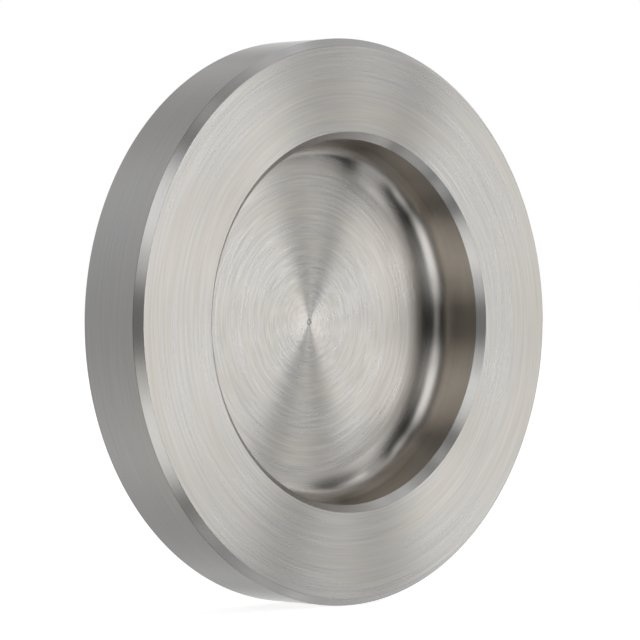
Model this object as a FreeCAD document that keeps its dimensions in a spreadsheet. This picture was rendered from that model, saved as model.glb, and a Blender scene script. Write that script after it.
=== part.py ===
import FreeCAD, Part
import math
import os
import Sketcher

# A round recessed finger pull for a sliding door, turned from one piece of satin steel bar.
# Frame: the turning axis is Y, the front with its recess faces -Y and +Z is up.
# The origin is the centre of the flat back, the face that is seated or glued in the door.
# All sizes are in millimetres.

SIZES = {
    # over the rim, the size of the hole that the door needs
    "rim_diameter": 70,
    # from the back to the front face
    "thickness": 10,
    # inside the straight wall of the finger recess
    "recess_diameter": 45.2,
    # from the front face down to the flat floor, which leaves the floor 2 thick
    "recess_depth": 8,
    # radius of the corner between the wall and the floor, left by the nose of the tool
    "floor_fillet": 3.5,
    # 45 degree edge that the fingertips meet at the mouth of the recess
    "mouth_chamfer": 0.9,
    # 45 degree edge round the front face
    "rim_chamfer": 0.9,
    # edge broken on the hidden side, so that the pull starts easily into its hole
    "back_chamfer": 0.3,
}

# how near an edge has to lie to the place where it is looked for
SAME_PLACE = 1e-4


def add_size_sheet(doc):
    """Write every driving size into a sheet, one named cell each."""
    sheet = doc.addObject("Spreadsheet::Sheet", "sizes")
    for row, (name, value) in enumerate(SIZES.items(), start=1):
        sheet.set(f"A{row}", name.replace("_", " "))
        sheet.set(f"B{row}", str(value))
        sheet.setAlias(f"B{row}", name)
    doc.recompute()
    return sheet


def add_section_sketch(body, name):
    """Start a half section on the plane that holds the turning axis: x is radius, y is height."""
    sketch = body.newObject("Sketcher::SketchObject", name)
    plane = next(item for item in body.Origin.OriginFeatures if item.Role == "XY_Plane")
    sketch.AttachmentSupport = [(plane, "")]
    sketch.MapMode = "FlatFace"
    return sketch


def line(start, end):
    """A straight edge of a section."""
    return Part.LineSegment(FreeCAD.Vector(*start, 0), FreeCAD.Vector(*end, 0))


def bind(sketch, name, expression, *constraint):
    """Add a dimension to a sketch and tie it to the sheet."""
    index = sketch.addConstraint(Sketcher.Constraint(*constraint))
    sketch.renameConstraint(index, name)
    sketch.setExpression(f"Constraints.{name}", expression)


def join_ends(sketch, pairs):
    """Join the end of one edge to the start of the next for each (edge, point, edge, point)."""
    for pair in pairs:
        sketch.addConstraint(Sketcher.Constraint("Coincident", *pair))


def draw_blank(sketch, sheet):
    """The bar cut to length: a plain rectangle from the axis to the rim."""
    radius = sheet.rim_diameter / 2
    front = -sheet.thickness
    corners = [(0, 0), (radius, 0), (radius, front), (0, front)]
    back_face, rim, front_face, axis_side = range(len(corners))
    for number, corner in enumerate(corners):
        sketch.addGeometry(line(corner, corners[(number + 1) % len(corners)]), False)
    join_ends(
        sketch,
        [
            (back_face, 2, rim, 1),
            (rim, 2, front_face, 1),
            (front_face, 2, axis_side, 1),
            (axis_side, 2, back_face, 1),
            (back_face, 1, -1, 1),
        ],
    )
    for edge in (back_face, front_face):
        sketch.addConstraint(Sketcher.Constraint("Horizontal", edge))
    for edge in (rim, axis_side):
        sketch.addConstraint(Sketcher.Constraint("Vertical", edge))
    bind(sketch, "rim_radius", "sizes.rim_diameter / 2", "DistanceX", back_face, 1, back_face, 2, radius)
    bind(sketch, "bar_length", "sizes.thickness", "DistanceY", rim, 2, rim, 1, sheet.thickness)


def draw_recess(sketch, sheet):
    """What the boring tool takes out: straight wall, round corner and flat floor."""
    radius = sheet.recess_diameter / 2
    corner = sheet.floor_fillet
    front = -sheet.thickness
    floor = front + sheet.recess_depth
    mouth, wall, round_corner, flat_floor, axis_side = range(5)
    corner_centre = FreeCAD.Vector(radius - corner, floor - corner, 0)
    corner_circle = Part.Circle(corner_centre, FreeCAD.Vector(0, 0, 1), corner)
    sketch.addGeometry(line((0, front), (radius, front)), False)
    sketch.addGeometry(line((radius, front), (radius, floor - corner)), False)
    sketch.addGeometry(Part.ArcOfCircle(corner_circle, 0, math.pi / 2), False)
    sketch.addGeometry(line((radius - corner, floor), (0, floor)), False)
    sketch.addGeometry(line((0, floor), (0, front)), False)
    join_ends(
        sketch,
        [
            (mouth, 2, wall, 1),
            (flat_floor, 2, axis_side, 1),
            (axis_side, 2, mouth, 1),
        ],
    )
    sketch.addConstraint(Sketcher.Constraint("Tangent", wall, 2, round_corner, 1))
    sketch.addConstraint(Sketcher.Constraint("Tangent", round_corner, 2, flat_floor, 1))
    for edge in (mouth, flat_floor):
        sketch.addConstraint(Sketcher.Constraint("Horizontal", edge))
    sketch.addConstraint(Sketcher.Constraint("Vertical", wall))
    sketch.addConstraint(Sketcher.Constraint("PointOnObject", mouth, 1, -2))
    sketch.addConstraint(Sketcher.Constraint("PointOnObject", flat_floor, 2, -2))
    bind(sketch, "front_height", "sizes.thickness", "DistanceY", mouth, 1, -1, 1, sheet.thickness)
    bind(sketch, "wall_radius", "sizes.recess_diameter / 2", "DistanceX", mouth, 1, mouth, 2, radius)
    bind(sketch, "depth", "sizes.recess_depth", "DistanceY", axis_side, 2, axis_side, 1, sheet.recess_depth)
    bind(sketch, "corner_radius", "sizes.floor_fillet", "Radius", round_corner, corner)


def turn(body, sketch, kind, name):
    """Carry a half section once round the turning axis, as added or as removed metal."""
    feature = body.newObject(kind, name)
    feature.Profile = sketch
    feature.ReferenceAxis = (sketch, ["V_Axis"])
    feature.Angle = 360
    return feature


def find_ring(shape, radius, height):
    """Name of the circular edge of this radius round the Y axis at this height."""
    for number, edge in enumerate(shape.Edges, start=1):
        curve = edge.Curve
        if not isinstance(curve, Part.Circle):
            continue
        if abs(curve.Radius - radius) < SAME_PLACE and abs(curve.Center.y - height) < SAME_PLACE:
            return f"Edge{number}"
    raise RuntimeError(f"no round edge of radius {radius} at height {height}")


def chamfer_ring(body, base, name, radius, height):
    """Break one round edge at 45 degrees, by the size in the cell of the same name."""
    chamfer = body.newObject("PartDesign::Chamfer", name)
    chamfer.Base = (base, [find_ring(base.Shape, radius, height)])
    chamfer.setExpression("Size", f"sizes.{name}")
    body.Document.recompute()
    return chamfer


def make_pull(doc, sheet):
    """Turn the blank, bore the recess and break the three edges."""
    body = doc.addObject("PartDesign::Body", "pull")
    body.Label = "pull"

    blank_section = add_section_sketch(body, "blank_section")
    draw_blank(blank_section, sheet)
    blank = turn(body, blank_section, "PartDesign::Revolution", "blank")
    doc.recompute()

    recess_section = add_section_sketch(body, "recess_section")
    draw_recess(recess_section, sheet)
    recess = turn(body, recess_section, "PartDesign::Groove", "recess")
    doc.recompute()
    check_recess(blank, recess, sheet)

    front = -sheet.thickness
    rim_radius = sheet.rim_diameter / 2
    mouth = chamfer_ring(body, recess, "mouth_chamfer", sheet.recess_diameter / 2, front)
    rim = chamfer_ring(body, mouth, "rim_chamfer", rim_radius, front)
    chamfer_ring(body, rim, "back_chamfer", rim_radius, 0)
    return body


def check_recess(blank, recess, sheet):
    """The bored volume is a cylinder less the ring of metal that the round corner leaves."""
    radius = sheet.recess_diameter / 2
    corner = sheet.floor_fillet
    square_minus_quarter = corner**2 * (1 - math.pi / 4)
    # distance of that small section's centroid from the wall
    from_wall = corner * (10 - 3 * math.pi) / (12 - 3 * math.pi)
    left_in_corner = 2 * math.pi * (radius - from_wall) * square_minus_quarter
    expected = math.pi * radius**2 * sheet.recess_depth - left_in_corner
    removed = blank.Shape.Volume - recess.Shape.Volume
    if abs(removed - expected) > 1e-6 * expected:
        raise RuntimeError(f"the recess took out {removed} and should take out {expected}")


def check_document(doc, bodies):
    """Stop if any feature failed or any piece isn't one valid solid."""
    for item in doc.Objects:
        if "Invalid" in item.State or "Error" in item.State:
            raise RuntimeError(f"{item.Name} failed: {item.State}")
    for body in bodies:
        if body.Shape.isNull() or not body.Shape.isValid() or len(body.Shape.Solids) != 1:
            raise RuntimeError(f"{body.Label} is not one valid solid")


def main():
    """Build the pull, check it and write its solid."""
    doc = FreeCAD.newDocument("pocket_door_pull")
    sheet = add_size_sheet(doc)
    bodies = [make_pull(doc, sheet)]
    doc.recompute()
    check_document(doc, bodies)

    os.makedirs("parts", exist_ok=True)
    for body in bodies:
        body.Shape.exportStep(f"parts/{body.Label}.step")
        box = body.Shape.BoundBox
        print(f"{body.Label}: {box.XLength:.3f} x {box.YLength:.3f} x {box.ZLength:.3f} mm,"
              f" {body.Shape.Volume / 1000:.3f} cm3, floor {sheet.thickness - sheet.recess_depth:.2f} mm")


main()
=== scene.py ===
# %% [markdown]
# # A turned steel pull for a pocket door
# The real object is one disc of stainless steel, made on a lathe. Everything that the eye reads on it
# comes from turning: crisp 45 degree edges, fine rings that follow the cut, and the bright and dark
# fans that such rings throw when light falls on them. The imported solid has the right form, but it is
# made of flat facets, and a metal shows each one. So this script loads that solid as the measure of
# everything, works out a much finer skin over it, and spends its effort on finish and light.

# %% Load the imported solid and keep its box
import math

import bpy
import numpy as np
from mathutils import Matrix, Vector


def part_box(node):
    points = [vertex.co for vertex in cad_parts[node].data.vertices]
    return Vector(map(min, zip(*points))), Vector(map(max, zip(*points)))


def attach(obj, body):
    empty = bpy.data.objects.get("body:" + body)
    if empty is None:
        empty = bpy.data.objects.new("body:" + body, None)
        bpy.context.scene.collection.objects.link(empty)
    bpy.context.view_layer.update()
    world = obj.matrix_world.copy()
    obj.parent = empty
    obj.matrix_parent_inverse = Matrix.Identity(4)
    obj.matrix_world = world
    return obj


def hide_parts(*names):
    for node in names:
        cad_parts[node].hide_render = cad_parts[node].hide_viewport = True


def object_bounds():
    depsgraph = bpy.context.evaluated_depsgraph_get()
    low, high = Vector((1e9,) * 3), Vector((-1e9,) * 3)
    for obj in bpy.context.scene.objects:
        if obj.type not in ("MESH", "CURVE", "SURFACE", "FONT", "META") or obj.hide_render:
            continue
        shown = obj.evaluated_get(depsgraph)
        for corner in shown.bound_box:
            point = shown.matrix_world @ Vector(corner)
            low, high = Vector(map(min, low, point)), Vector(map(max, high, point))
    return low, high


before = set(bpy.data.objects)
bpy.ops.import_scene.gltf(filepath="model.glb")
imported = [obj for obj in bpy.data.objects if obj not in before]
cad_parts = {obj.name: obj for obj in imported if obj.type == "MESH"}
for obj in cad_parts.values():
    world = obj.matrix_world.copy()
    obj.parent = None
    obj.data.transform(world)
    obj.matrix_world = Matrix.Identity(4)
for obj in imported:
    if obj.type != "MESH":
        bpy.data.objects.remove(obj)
cad_low, cad_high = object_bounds()
print("packed solid from", list(cad_low), "to", list(cad_high))

# %% [markdown]
# ## Sizes
# The frame gives the two outer sizes, the radius of the rim and the thickness. The sizes inside the
# recess are those of the drawing of the pull. They are written here once, in metres, and every later
# step takes them by name.

# %% Sizes of the pull
MM = 0.001
pull_low, pull_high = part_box("pull")
rim_radius = (pull_high.x - pull_low.x) / 2
thickness = pull_high.y - pull_low.y
bore_radius = 22.6 * MM
recess_depth = 8 * MM
floor_fillet = 3.5 * MM
rim_chamfer = 0.9 * MM
mouth_chamfer = 0.9 * MM
back_chamfer = 0.3 * MM
floor_height = thickness - recess_depth
print(f"rim radius {rim_radius / MM:.2f} mm, thickness {thickness / MM:.2f} mm,",
      f"floor {floor_height / MM:.2f} mm")

# %% [markdown]
# ## The half section
# A turned part is one outline carried round an axis. The outline runs from the middle of the back,
# out to the rim, over the front, down into the recess and in to the middle of the floor. A lathe tool
# never leaves a perfectly sharp corner, and a corner without any radius catches no light, so each
# corner gets a small arc. The arc between the wall and the floor is the same thing at a larger size.
# The last corners are the shallow mark that the tool leaves where the cut ends at the centre.

# %% Corners of the half section
eased = 0.07 * MM
mark_radius = 0.42 * MM
mark_flat_radius = mark_radius / 3
mark_depth = 0.13 * MM
mark_height = floor_height - mark_depth
mark_eased = 2 * eased
corners = np.array([
    # distance from the axis, height above the back, radius of the arc at this corner
    (0, 0, 0),
    (rim_radius - back_chamfer, 0, eased),
    (rim_radius, back_chamfer, eased),
    (rim_radius, thickness - rim_chamfer, eased),
    (rim_radius - rim_chamfer, thickness, eased),
    (bore_radius + mouth_chamfer, thickness, eased),
    (bore_radius, thickness - mouth_chamfer, eased),
    (bore_radius, floor_height, floor_fillet),
    (mark_radius, floor_height, mark_eased),
    (mark_flat_radius, mark_height, mark_eased),
    (0, mark_height, 0),
])
# the finish of each straight run between two corners, and of each arc that joins two runs
run_finishes = ["back", "edge", "rim", "edge", "face", "edge", "wall", "floor", "floor", "floor"]
arc_finishes = ["edge", "edge", "edge", "edge", "edge", "edge", "fillet", "floor", "floor"]
print(len(corners), "corners,", len(run_finishes), "runs and", len(arc_finishes), "arcs")

# %% [markdown]
# ## Rounding the corners
# An arc that touches both runs is what the nose of a cutting tool leaves. Each row of the outline
# keeps its exact normal beside its place, because the light needs the normal more than the place.
# Rows stand close on the arcs, where the normal turns, and 1 mm apart on the straight runs.

# %% Round the corners
ROW_GAP = 1.0 * MM
ROWS_ON_FILLET = 24
ROWS_ON_EASED_CORNER = 5


def unit(vectors):
    """Each row divided by its own length."""
    return vectors / np.linalg.norm(vectors, axis=-1, keepdims=True)


def rounded_outline(corners, row_gap, rows_per_arc):
    """An outline of straight runs joined by tangent arcs, as rows of points and of normals.

    At a corner the unit vectors to both neighbours, a and b, open by an angle of twice w. An arc of
    radius q touches the two runs at a distance of q / tan(w) from the corner, and its centre lies
    q / sin(w) from the corner, along a + b. Returns points, normals and the part of each row, which
    is 2 n for run number n and 2 n + 1 for the arc after it.
    """
    places = corners[:, :2]
    radii = corners[1:-1, 2:]
    to_last = unit(places[:-2] - places[1:-1])
    to_next = unit(places[2:] - places[1:-1])
    half_angle = np.arccos(np.sum(to_last * to_next, axis=1, keepdims=True)) / 2
    arc_start = places[1:-1] + to_last * radii / np.tan(half_angle)
    arc_end = places[1:-1] + to_next * radii / np.tan(half_angle)
    centres = places[1:-1] + unit(to_last + to_next) * radii / np.sin(half_angle)
    run_starts = np.vstack([places[:1], arc_end])
    run_ends = np.vstack([arc_start, places[-1:]])
    points, normals, part = [], [], []
    for run, (start, end) in enumerate(zip(run_starts, run_ends)):
        rows = max(2, math.ceil(np.linalg.norm(end - start) / row_gap) + 1)
        share = np.linspace(0, 1, rows)[:, None]
        along = unit(end - start)
        # the solid lies to the left of the outline as it is walked, so outwards is to the right
        outward = np.array([along[1], -along[0]])
        points.append(start + share * (end - start))
        normals.append(np.tile(outward, (rows, 1)))
        part.append(np.full(rows, 2 * run))
        # the last row of a run starts the arc after it
        part[-1][-1] += 1
        if run == len(centres):
            break
        turn_start = np.arctan2(*(end - centres[run])[::-1])
        turn = np.arctan2(*(arc_end[run] - centres[run])[::-1]) - turn_start
        # the short way round
        turn = (turn + np.pi) % (2 * np.pi) - np.pi
        angle = turn_start + turn * np.linspace(0, 1, rows_per_arc[run] + 1)[1:-1, None]
        spoke = np.hstack([np.cos(angle), np.sin(angle)])
        points.append(centres[run] + radii[run] * spoke)
        normals.append(spoke * np.sign(turn))
        part.append(np.full(len(spoke), 2 * run + 1))
    return np.vstack(points), np.vstack(normals), np.concatenate(part)


rows_per_arc = [ROWS_ON_FILLET if radius == floor_fillet else ROWS_ON_EASED_CORNER
                for radius in corners[1:-1, 2]]
outline, outline_normals, outline_part = rounded_outline(corners, ROW_GAP, rows_per_arc)
step_lengths = np.linalg.norm(np.diff(outline, axis=0), axis=1)
outline_reach = np.concatenate([[0], np.cumsum(step_lengths)])
outline_length = outline_reach[-1]
print(f"outline of {len(outline)} rows, {outline_length / MM:.1f} mm long")

# %% [markdown]
# ## Faces and map of the skin
# The outline could be spun with a modifier, but then its normals would be guessed from the facets. A
# mirror-like metal shows such guesses as ripples. Here the skin is worked out as a grid, outline
# times angle. The grid closes on itself at the end of the turn, and each end of the outline is one
# single point on the axis, with a fan of triangles round it. Its map says of each point how far
# along the outline and how far round it lies, which the finishes need later.

# %% Faces and map of the skin
def skin_faces(rings, spokes):
    """The corners of each face: squares between the rings, then a fan of triangles at each pole."""
    here = np.arange(spokes)
    after = (here + 1) % spokes
    low = np.arange(rings - 1)[:, None] * spokes
    quads = np.stack([low + here, low + after, low + spokes + after, low + spokes + here], axis=-1)
    back_pole, floor_pole = rings * spokes, rings * spokes + 1
    last_ring = (rings - 1) * spokes
    back_fan = np.stack([np.full(spokes, back_pole), after, here], axis=1)
    floor_fan = np.stack([last_ring + here, last_ring + after, np.full(spokes, floor_pole)], axis=1)
    return quads.reshape(-1, 4).tolist() + back_fan.tolist() + floor_fan.tolist()


def fan_map(along, around):
    """The map of one fan of triangles: the same three places along, and each triangle's own turn."""
    around = np.stack(around, axis=1)
    return np.stack(np.broadcast_arrays(along[None], around), axis=-1)


def skin_map(along, spokes):
    """How far along the outline and how far round each corner of each face lies, from 0 to 1."""
    here = np.arange(spokes)
    round_low, round_high = here / spokes, (here + 1) / spokes
    middle = (round_low + round_high) / 2
    quad_along = np.stack([along[1:-2], along[1:-2], along[2:-1], along[2:-1]], axis=1)
    quad_round = np.stack([round_low, round_high, round_high, round_low], axis=1)
    quad_map = np.stack(np.broadcast_arrays(quad_along[:, None], quad_round[None]), axis=-1)
    back_map = fan_map(along[[0, 1, 1]], (middle, round_high, round_low))
    floor_map = fan_map(along[[-2, -2, -1]], (round_low, round_high, middle))
    return np.vstack([part.reshape(-1, 2) for part in (quad_map, back_map, floor_map)])


print("a skin with 3 rings and 4 spokes has", len(skin_faces(3, 4)), "faces")

# %% [markdown]
# ## Turning the outline into a skin
# The lathe turns the bar against the tool. Here the outline is carried round the axis instead, and
# the exact normal of every row is handed to Blender with it. With 480 spokes a facet at the rim is
# under half a millimetre long, which keeps the silhouette smooth in a close picture.

# %% Make the skin
SPOKES = 480
OUTLINE_MAP = "turned"


def turned_skin(name, outline, normals, reach, spokes):
    """Carry the outline round the Y axis and return the mesh, closed at both poles.

    A row at distance r from the axis and height h above the back has its point for the angle t at
    (r cos t, -h, r sin t), and a normal (p, q) of the outline turns into (p cos t, -q, p sin t).
    """
    turn = 2 * np.pi * np.arange(spokes) / spokes
    spoke = np.stack([np.cos(turn), np.zeros(spokes), np.sin(turn)], axis=1)
    axis = np.array([0.0, -1.0, 0.0])

    def carried(pairs):
        """Every pair (outwards, upwards) at every angle, one row of the outline after another."""
        return (pairs[:, None, :1] * spoke + pairs[:, None, 1:] * axis).reshape(-1, 3)

    inner = slice(1, -1)
    poles = np.outer(outline[[0, -1], 1], axis)
    pole_normals = np.outer(normals[[0, -1], 1], axis)
    points = np.vstack([carried(outline[inner]), poles])
    point_normals = np.vstack([carried(normals[inner]), pole_normals])
    faces = skin_faces(len(outline[inner]), spokes)

    mesh = bpy.data.meshes.new(name)
    mesh.from_pydata(points, [], faces)
    mesh.polygons.foreach_set("use_smooth", np.ones(len(faces), dtype=bool))
    places = skin_map(reach / reach[-1], spokes)
    mesh.uv_layers.new(name=OUTLINE_MAP).data.foreach_set("uv", places.ravel())
    mesh.normals_split_custom_set_from_vertices(point_normals.tolist())
    return mesh


skin = turned_skin("pull_skin", outline, outline_normals, outline_reach, SPOKES)
pull = bpy.data.objects.new("pull_skin", skin)
bpy.context.collection.objects.link(pull)
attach(pull, "root")
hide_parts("pull")
print(len(skin.vertices), "points and", len(skin.polygons), "faces in the skin")

# %% [markdown]
# ## Helpers for nodes
# Every finish and the whole studio below are graphs of nodes. Four helpers keep them readable. One
# adds a node with its inputs, two are a shorthand for arithmetic on numbers and on vectors, and the
# last blends two vectors, which here are tints.

# %% Node helpers
def node(tree, kind, inputs=(), **settings):
    """Add a node, set its properties and fill inputs with values or with other nodes' outputs."""
    made = tree.nodes.new(kind)
    for key, value in settings.items():
        setattr(made, key, value)
    for key, value in dict(inputs).items():
        if isinstance(value, bpy.types.NodeSocket):
            tree.links.new(value, made.inputs[key])
        else:
            made.inputs[key].default_value = value
    return made


def math_node(tree, operation, *values):
    """The result of one Math node on numbers or outputs."""
    return node(tree, "ShaderNodeMath", dict(enumerate(values)), operation=operation).outputs[0]


def vector_node(tree, operation, *values, scale=None):
    """The result of one Vector Math node on vectors or outputs, with a number where it scales."""
    inputs = dict(enumerate(values))
    if scale is not None:
        inputs["Scale"] = scale
    return node(tree, "ShaderNodeVectorMath", inputs, operation=operation).outputs[0]


def blended(tree, share, first, second):
    """The first vector times 1 - share plus the second times share. Sockets 4 and 5 take vectors."""
    inputs = {"Factor": share, 4: first, 5: second}
    return node(tree, "ShaderNodeMix", inputs, data_type="VECTOR").outputs[1]


print("helpers ready: node, math_node, vector_node, blended")

# %% [markdown]
# ## Turning marks
# Look closely at turned steel and you see thousands of fine marks that follow the cut: hairlines a
# few tenths of a millimetre apart, broader bands where the tool or the abrasive pad dwelt, and faint
# cloudy patches. Noise in plain x, y and z would give specks. Here the noise is looked up at the
# direction from the axis and the distance along the outline. Few steps of noise go round and many
# go across, so each speck is drawn out into an arc, and there is no seam, because a direction
# closes on itself.

# %% Marks along the cut
# arcs in one turn, lines in one millimetre across the cut, and detail of the noise
MARKS = {
    "hairlines": (19, 3.2, 1.0),
    "bands": (9, 1.3, 2.0),
    "rings": (1.2, 3.0, 1.0),
    "clouds": (7, 0.12, 1.0),
}


def along_outline(tree):
    """How far along the outline the point lies, from 0 at the middle of the back to 1."""
    place = node(tree, "ShaderNodeUVMap", uv_map=OUTLINE_MAP).outputs[0]
    return node(tree, "ShaderNodeSeparateXYZ", {0: place}).outputs[0]


def cut_marks(tree, arcs_per_turn, lines_per_mm, detail):
    """Noise from 0 to 1 that is stretched round the axis.

    The direction from the axis, x and z over their length, goes round a circle of radius
    arcs / 2 pi, and the third coordinate is the distance along the outline times lines per mm.
    """
    place = node(tree, "ShaderNodeTexCoord").outputs["Object"]
    spoke = vector_node(tree, "NORMALIZE", vector_node(tree, "MULTIPLY", place, (1, 0, 1)))
    ring = vector_node(tree, "SCALE", spoke, scale=arcs_per_turn / math.tau)
    line = math_node(tree, "MULTIPLY", along_outline(tree), lines_per_mm * outline_length / MM)
    across = node(tree, "ShaderNodeCombineXYZ", {1: line}).outputs[0]
    vector = vector_node(tree, "ADD", ring, across)
    return node(tree, "ShaderNodeTexNoise", {"Vector": vector, "Scale": 1.0, "Detail": detail}).outputs[0]


def weighted(tree, middle, *layers):
    """The middle value plus each layer's distance from 0.5 times its weight."""
    total = middle
    for layer, weight in layers:
        swing = math_node(tree, "MULTIPLY_ADD", layer, weight, -weight / 2)
        total = math_node(tree, "ADD", swing, total)
    return total


print("marks:", ", ".join(MARKS))

# %% [markdown]
# ## Changes along the outline
# A finish doesn't always stop at an edge. The darker, brownish tint of the recess wall is a painted
# reflection of dark brown surroundings, and it fades out within the first half of the round corner.
# The pad that brushed the floor reaches a part of that corner, which gets rougher there. Near the
# centre the floor's colour is painted a little lighter, as a painted highlight.
# Each of these is a smooth change between two places on the outline. Steps would show as seams.

# %% Smooth changes along the outline
def ramp(tree, start, end, low, high):
    """A smooth change from low to high between two places, given as lengths along the outline."""
    limits = {"Value": along_outline(tree),
              "From Min": start / outline_length, "From Max": end / outline_length,
              "To Min": low, "To Max": high}
    return node(tree, "ShaderNodeMapRange", limits, interpolation_type="SMOOTHSTEP").outputs[0]


fillet_rows = np.flatnonzero(outline_part == 2 * arc_finishes.index("fillet") + 1)
fillet_start, fillet_end = outline_reach[fillet_rows[[0, -1]]]


def on_fillet(share):
    """The length along the outline at a share of the round corner, from 0 at the wall to 1."""
    return fillet_start + share * (fillet_end - fillet_start)


BORED_ROUGHNESS = 0.19
BRUSHED_ROUGHNESS = 0.28
# painted reflection: the wall's darker brown tint fades out between these two places on the round corner
painted_reflection_ends = (on_fillet(0.22), on_fillet(0.42))
pad_reach = (on_fillet(0.62), on_fillet(0.82), BORED_ROUGHNESS, BRUSHED_ROUGHNESS)
# painted highlight: near the centre the floor's colour is painted up to 18 percent lighter
painted_centre_highlight = (outline_length - 4.2 * MM, outline_length - 0.7 * MM, 1.0, 1.18)
print(f"marks on {outline_length / MM:.1f} mm of outline, round corner from "
      f"{fillet_start / MM:.1f} to {fillet_end / MM:.1f} mm")

# %% [markdown]
# ## Satin steel
# Across the marks the surface is rough, along them it is nearly a mirror, so each lamp is drawn out
# into a streak across the marks. The Principled shader does this with its anisotropy. The streak
# follows the tangent, and the tangent here is the direction along the outline, which the map gives.
# The marks vary the colour and the roughness a little and tilt the surface by microns, because a
# real cut is never even.

# %% The finish of turned steel
COOLER = (0.985, 1.0, 1.03)
WARMER = (1.015, 1.0, 0.97)
# how much each kind of mark changes the tone of the metal
TONE_WEIGHTS = {"hairlines": 0.28, "bands": 0.14, "rings": 0.14, "clouds": 0.10}
WARMTH_WEIGHT = 1.6
# how much bands and clouds change the roughness, as a share of it
ROUGHNESS_WEIGHT = 0.2


def turned_steel(name, tint, roughness, anisotropy, contrast, ridge,
                 tint_before=None, tint_change=None, rougher=None, painted_highlight=None):
    """Satin metal: contrast scales the marks in colour and roughness, ridge is their height in metres.

    The last four let the finish change along the outline: another tint before the stretch called
    tint_change, which on the round corner is the wall's painted brown reflection, and ramps that take
    the place of the roughness and of the middle tone. The ramp of the middle tone is a painted highlight.
    """
    material = bpy.data.materials.new(name)
    material.use_nodes = True
    tree = material.node_tree
    shader = tree.nodes["Principled BSDF"]
    shader.inputs["Metallic"].default_value = 1.0
    shader.inputs["Anisotropic"].default_value = anisotropy
    tangent = node(tree, "ShaderNodeTangent", direction_type="UV_MAP", uv_map=OUTLINE_MAP)
    tree.links.new(tangent.outputs[0], shader.inputs["Tangent"])
    marks = {kind: cut_marks(tree, *spacing) for kind, spacing in MARKS.items()}

    # a painted highlight where the ramp lifts the middle tone
    tone = ramp(tree, *painted_highlight) if painted_highlight else 1.0
    for kind, weight in TONE_WEIGHTS.items():
        tone = weighted(tree, tone, (marks[kind], weight * contrast))
    warmth = weighted(tree, 0.5, (marks["bands"], WARMTH_WEIGHT), (marks["clouds"], WARMTH_WEIGHT))
    if tint_before:
        tint = blended(tree, ramp(tree, *tint_change, 0.0, 1.0), tint_before, tint)
    hue = vector_node(tree, "MULTIPLY", blended(tree, warmth, COOLER, WARMER), tint)
    tree.links.new(vector_node(tree, "SCALE", hue, scale=tone), shader.inputs["Base Color"])

    level = ramp(tree, *rougher) if rougher else roughness
    swing = ROUGHNESS_WEIGHT * contrast * roughness
    grain = weighted(tree, level, (marks["bands"], swing), (marks["clouds"], swing))
    tree.links.new(grain, shader.inputs["Roughness"])
    height = weighted(tree, 0.0, (marks["rings"], ridge))
    bump = node(tree, "ShaderNodeBump", {"Height": height, "Distance": 1.0, "Strength": 1.0})
    tree.links.new(bump.outputs[0], shader.inputs["Normal"])
    return material


print("tone varies by", ", ".join(f"{kind} {weight:.0%}" for kind, weight in TONE_WEIGHTS.items()))

# %% [markdown]
# ## Seven finishes
# They differ as the cuts do. The faces were brushed after turning. The wall and the round corner of
# the recess keep the smoother cut of the boring tool. The narrow edges are smooth and shine in thin
# lines, and the rim shows little of its marks. The back, which is glued into the door, is only ground
# flat. Each face of the skin takes the finish of the run or arc that it lies on.

# %% Give each part of the outline its finish
BRUSHED = (0.635, 0.615, 0.583)
# the wall's tint is darker and browner than the faces: a painted reflection of dark brown surroundings
PAINTED_BROWN_REFLECTION = (0.595, 0.545, 0.483)
CORNER = (0.625, 0.598, 0.562)
CUT = (0.625, 0.615, 0.597)
MICRON = 1e-6
finishes = {
    "face": turned_steel("satin_face", BRUSHED, BRUSHED_ROUGHNESS,
                         anisotropy=1.0, contrast=1.0, ridge=4 * MICRON),
    "floor": turned_steel("satin_floor", BRUSHED, BRUSHED_ROUGHNESS,
                          anisotropy=1.0, contrast=1.55, ridge=5 * MICRON, painted_highlight=painted_centre_highlight),
    "wall": turned_steel("bored_wall_painted_reflection", PAINTED_BROWN_REFLECTION, BORED_ROUGHNESS,
                         anisotropy=1.0, contrast=0.5, ridge=1 * MICRON),
    "fillet": turned_steel("bored_fillet_painted_reflection", CORNER, BORED_ROUGHNESS,
                           anisotropy=1.0, contrast=0.5, ridge=1 * MICRON,
                           tint_before=PAINTED_BROWN_REFLECTION, tint_change=painted_reflection_ends, rougher=pad_reach),
    "edge": turned_steel("cut_edge", CUT, 0.24, anisotropy=0.9, contrast=0.3, ridge=0.5 * MICRON),
    "rim": turned_steel("turned_rim", CUT, 0.2, anisotropy=0.8, contrast=0.4, ridge=1 * MICRON),
    "back": turned_steel("ground_back", BRUSHED, 0.34, anisotropy=0.8, contrast=1.0, ridge=3 * MICRON),
}


def face_rows(rows, spokes):
    """The row of the outline that each face starts at, in the order of the faces."""
    return np.concatenate([np.repeat(np.arange(1, rows - 2), spokes),
                           np.full(spokes, 0), np.full(spokes, rows - 2)])


for finish in finishes.values():
    skin.materials.append(finish)
# no arc follows the last run, so its finish only fills the place
part_finishes = [finish for pair in zip(run_finishes, arc_finishes + ["floor"]) for finish in pair]
part_slots = np.array([list(finishes).index(finish) for finish in part_finishes])
slots = part_slots[outline_part[face_rows(len(outline), SPOKES)]]
skin.polygons.foreach_set("material_index", slots)
print("finishes:", ", ".join(finishes))

# %% [markdown]
# ## The studio round the pull
# Metal has hardly any colour of its own: it shows the room. A photographer lights it with large soft
# boxes and leaves dark gaps between them, and those gaps become dark fans on the rings. Area lamps
# could stand for the boxes. Here they are drawn straight into the world, so that they cost no noise.
# The box called behind_right is the white backdrop behind the pull as the camera looks, and the
# steel shows it. Nobody measured a studio for these numbers. A fit outside this script found most
# of them, from how light or dark each part of the steel is in the photograph, and the rest were set
# by hand.

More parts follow.
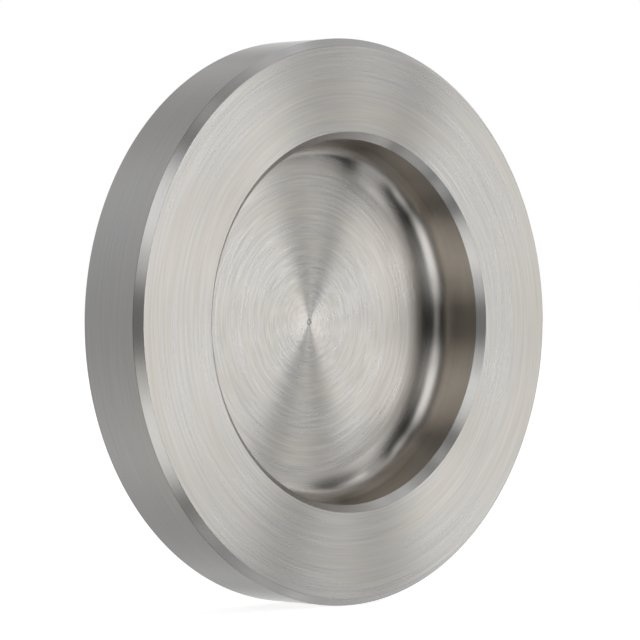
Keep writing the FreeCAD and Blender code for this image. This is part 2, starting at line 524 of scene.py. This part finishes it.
# %% Soft boxes
# Each row says where one box stands as seen from the pull: its direction (0 is straight before the
# front, plus is towards +X) and its height, half its width and half its height, how wide its edge
# fades sideways and upwards, all in degrees, then its strength, and whether a twin stands below.
soft_boxes = {
    "left": (-46, 34.5, 18.5, 18, 7, 25, 1.27, True),
    "right": (67.5, 36.5, 6, 26.5, 7, 7, 1.05, True),
    "middle": (26, 28.5, 6.5, 7, 7, 27, 1.07, True),
    "behind_right": (126, 36, 12.5, 54, 19, 16, 1.27, True),
    "top": (34, 70.5, 54.5, 8.5, 7, 19.5, 0.58, True),
    "top_front": (-18, 59, 13, 7, 10, 10, 0.72, True),
    "front": (-8, 16.5, 18.5, 7, 40, 20, 0.28, True),
    "strip": (31, 0, 6.5, 8.5, 7, 22.5, 1.93, False),
    "strip_far": (47.5, 0, 6, 14.5, 8, 23.5, 1.03, False),
    "behind_left": (-175.5, 0, 42, 49.5, 14.5, 32.5, 0.53, False),
    "right_high": (96, 54.5, 15, 38.5, 17.5, 7, 0.56, True),
    "left_low": (-44, 0, 6, 17, 10.5, 7, 0.59, False),
    "upper": (24, 52, 14, 8, 16, 8, 0.48, True),
    "high": (42, 53, 12, 8, 14, 12, 0.75, False),
}
print(len(soft_boxes), "soft boxes,", sum(box[-1] for box in soft_boxes.values()), "of them with a twin")

# %% [markdown]
# ## Boxes that draw the fans
# On a face cut in rings, a point shows the light that leans along its own spoke. The lean is the way
# that the direction halfway between light and camera tilts out of the axis. So a box that is to fill
# one stretch of the ring is best given by its lean. Its edges then fall on spokes, and they are the
# straight sides of the fans. These boxes are laid out for one place of the camera, whose direction
# is therefore stated with them. All their numbers come from the same fit.

# %% Fan boxes
# Direction of the lean (0 is towards +X, 90 is up, with a twin below), half width and soft edge, then
# twice the tilt, which is the angle from the camera's mirror image in the front face, half width
# and soft edge, all in degrees, and the strength.
fan_boxes = {
    "fan_right": (10, 53, 2, 35, 22.5, 24, 0.23),
    "fan_left": (150, 35, 2, 15, 8, 6, 1.51),
    "fan_gap": (90, 8.5, 2, 36.5, 8.5, 6, 0.77),
}
# all three are turned round the axis by this many degrees
fan_turn = 7.3
camera_azimuth = math.radians(43.434)
camera_elevation = math.radians(0.445)
looking = np.array([
    math.sin(camera_azimuth) * math.cos(camera_elevation),
    math.cos(camera_azimuth) * math.cos(camera_elevation),
    -math.sin(camera_elevation),
])
print("the camera looks along", looking.round(3).tolist())

# %% [markdown]
# ## The light of one box
# A soft box is bright all over and fades at its edge. Both kinds of box work alike: take the distance
# from the middle in both ways, turn each into a share that is 1 inside and 0 outside, and multiply
# the two shares by the strength.

# %% The light of one box
HALF_TURN = 180.0


def share_inside(tree, distance, half_size, soft):
    """1 inside the half size and 0 outside, with a smooth edge that is soft degrees wide."""
    limits = {"Value": distance, "From Min": half_size + soft / 2, "From Max": half_size - soft / 2}
    return node(tree, "ShaderNodeMapRange", limits, interpolation_type="SMOOTHSTEP").outputs[0]


def box_light(tree, sideways, upwards, strength):
    """The strength times the share inside both ways, each given as distance, half size and soft edge."""
    share = math_node(tree, "MULTIPLY", share_inside(tree, *sideways), share_inside(tree, *upwards))
    return math_node(tree, "MULTIPLY", share, strength)


def apart(tree, value, middle):
    """How far a value lies from the middle, without its sign."""
    return math_node(tree, "ABSOLUTE", math_node(tree, "SUBTRACT", value, middle))


def soft_box_light(tree, direction, height, box):
    """What one soft box sends from a direction, counted the short way round from its middle."""
    box_direction, box_height, half_width, half_height, soft_width, soft_height, strength, twin = box
    if twin:
        height = math_node(tree, "ABSOLUTE", height)
    turned = math_node(tree, "SUBTRACT", direction, box_direction)
    sideways = math_node(tree, "PINGPONG", turned, HALF_TURN)
    return box_light(tree, (sideways, half_width, soft_width),
                     (apart(tree, height, box_height), half_height, soft_height), strength)


def fan_box_light(tree, around, away, box):
    """What one fan box sends, from its lean round the axis and its angle from the mirror image."""
    box_around, half_around, soft_around, box_away, half_away, soft_away, strength = box
    return box_light(tree, (apart(tree, around, box_around), half_around, soft_around),
                     (apart(tree, away, box_away), half_away, soft_away), strength)


print("helpers ready: share_inside, box_light, apart, soft_box_light, fan_box_light")

# %% [markdown]
# ## The boxes in the world
# The world is asked for its light in one direction at a time. That direction is turned into an angle
# round the pull and a height for the soft boxes, and into a lean and an angle from the camera's
# mirror image for the fan boxes. The light of all boxes is added up.

# %% Put the boxes round the pull
DEGREE = math.pi / 180
world = bpy.data.worlds.new("studio")
world.use_nodes = True
bpy.context.scene.world = world
sky = world.node_tree
place = node(sky, "ShaderNodeTexCoord").outputs["Generated"]
x, y, z = node(sky, "ShaderNodeSeparateXYZ", {0: place}).outputs
forwards = math_node(sky, "MULTIPLY", y, -1.0)
direction = math_node(sky, "DIVIDE", math_node(sky, "ARCTAN2", x, forwards), DEGREE)
height = math_node(sky, "DIVIDE", math_node(sky, "ARCSINE", z), DEGREE)
studio = 0.0
for box in soft_boxes.values():
    studio = math_node(sky, "ADD", soft_box_light(sky, direction, height, box), studio)

halfway = vector_node(sky, "NORMALIZE", vector_node(sky, "ADD", place, tuple(-looking)))
lean_x, lean_y, lean_z = node(sky, "ShaderNodeSeparateXYZ", {0: halfway}).outputs
around = math_node(sky, "DIVIDE", math_node(sky, "ARCTAN2", lean_z, lean_x), DEGREE)
around = math_node(sky, "PINGPONG", math_node(sky, "ADD", around, fan_turn), HALF_TURN)
tilt = math_node(sky, "ARCCOSINE", math_node(sky, "MULTIPLY", lean_y, -1.0))
# a mirror turns the light by twice its own tilt
away = math_node(sky, "MULTIPLY", tilt, 2 / DEGREE)
for box in fan_boxes.values():
    studio = math_node(sky, "ADD", fan_box_light(sky, around, away, box), studio)
print(len(soft_boxes), "soft boxes and", len(fan_boxes), "fan boxes in", len(sky.nodes), "nodes")

# %% [markdown]
# ## What each kind of ray sees
# The camera sees an even white behind the pull, and so would a ray through glass. A strength of 1 is
# white. Glossy rays don't get that even white, since it would wipe out the fans. They see the boxes,
# with the white backdrop among them.

# %% White for the camera, the studio for the steel
WHITE_STRENGTH = 1.0
light_path = node(sky, "ShaderNodeLightPath").outputs
seen = math_node(sky, "MAXIMUM", light_path["Is Camera Ray"], light_path["Is Transmission Ray"])
strength = node(sky, "ShaderNodeMix", {0: seen, 2: studio, 3: WHITE_STRENGTH}).outputs[0]
background = sky.nodes["Background"]
background.inputs["Color"].default_value = (1, 1, 1, 1)
sky.links.new(strength, background.inputs["Strength"])
print("world of", len(sky.nodes), "nodes, even white for camera and transmission rays")

# %% [markdown]
# ## Floor
# The pull stands on its rim on a white floor. The floor only has to catch a faint shadow where the
# rim touches it, and it must not hide the soft boxes that stand low, so only the camera sees it. Most
# of its white is its own glow. The rest is the light that falls on it, which is missing in the shadow.

# %% White floor with a faint shadow
floor_reach = 3.0
floor_glow = 0.8
floor_colour = (0.8, 0.8, 0.8, 1)
ground = bpy.data.meshes.new("studio_floor")
signs = [(-1, -1), (1, -1), (1, 1), (-1, 1)]
ground.from_pydata([(across * floor_reach, along * floor_reach, cad_low.z) for across, along in signs],
                   [], [(0, 1, 2, 3)])
ground_object = bpy.data.objects.new("studio_floor", ground)
bpy.context.collection.objects.link(ground_object)
white = bpy.data.materials.new("white_floor")
white.use_nodes = True
tree = white.node_tree
tree.nodes.remove(tree.nodes["Principled BSDF"])
glow = node(tree, "ShaderNodeEmission", {"Color": (1, 1, 1, 1), "Strength": floor_glow}).outputs[0]
paper = node(tree, "ShaderNodeBsdfDiffuse", {"Color": floor_colour}).outputs[0]
lit = node(tree, "ShaderNodeAddShader", {0: glow, 1: paper}).outputs[0]
clear = node(tree, "ShaderNodeBsdfTransparent").outputs[0]
by_camera = node(tree, "ShaderNodeLightPath").outputs["Is Camera Ray"]
drawn = node(tree, "ShaderNodeMixShader", {0: by_camera, 1: clear, 2: lit}).outputs[0]
tree.links.new(drawn, tree.nodes["Material Output"].inputs["Surface"])
ground.materials.append(white)
print("floor at", round(cad_low.z / MM, 2), "mm")

# %% [markdown]
# ## Camera
# The photograph was taken from the front left, about level with the middle of the pull and, at this
# size, from less than half a metre away. The camera's direction, distance and aim were fitted,
# outside this script, until the outlines of rim, face, mouth and floor lay on those of the
# photograph. The aim is the point that comes out in the middle of the picture.

# %% Camera
camera_distance = 0.44573
aim = np.array([1.963, -1.856, 0.2215]) * MM
camera_data = bpy.data.cameras.new("camera")
camera_data.lens = 200
camera_data.sensor_width = 36
camera = bpy.data.objects.new("camera", camera_data)
camera.location = aim - looking * camera_distance
camera.rotation_euler = (math.pi / 2 - camera_elevation, 0, -camera_azimuth)
bpy.context.collection.objects.link(camera)
bpy.context.scene.camera = camera
bpy.context.scene.view_settings.view_transform = "Standard"
print("camera at", list(camera.location))
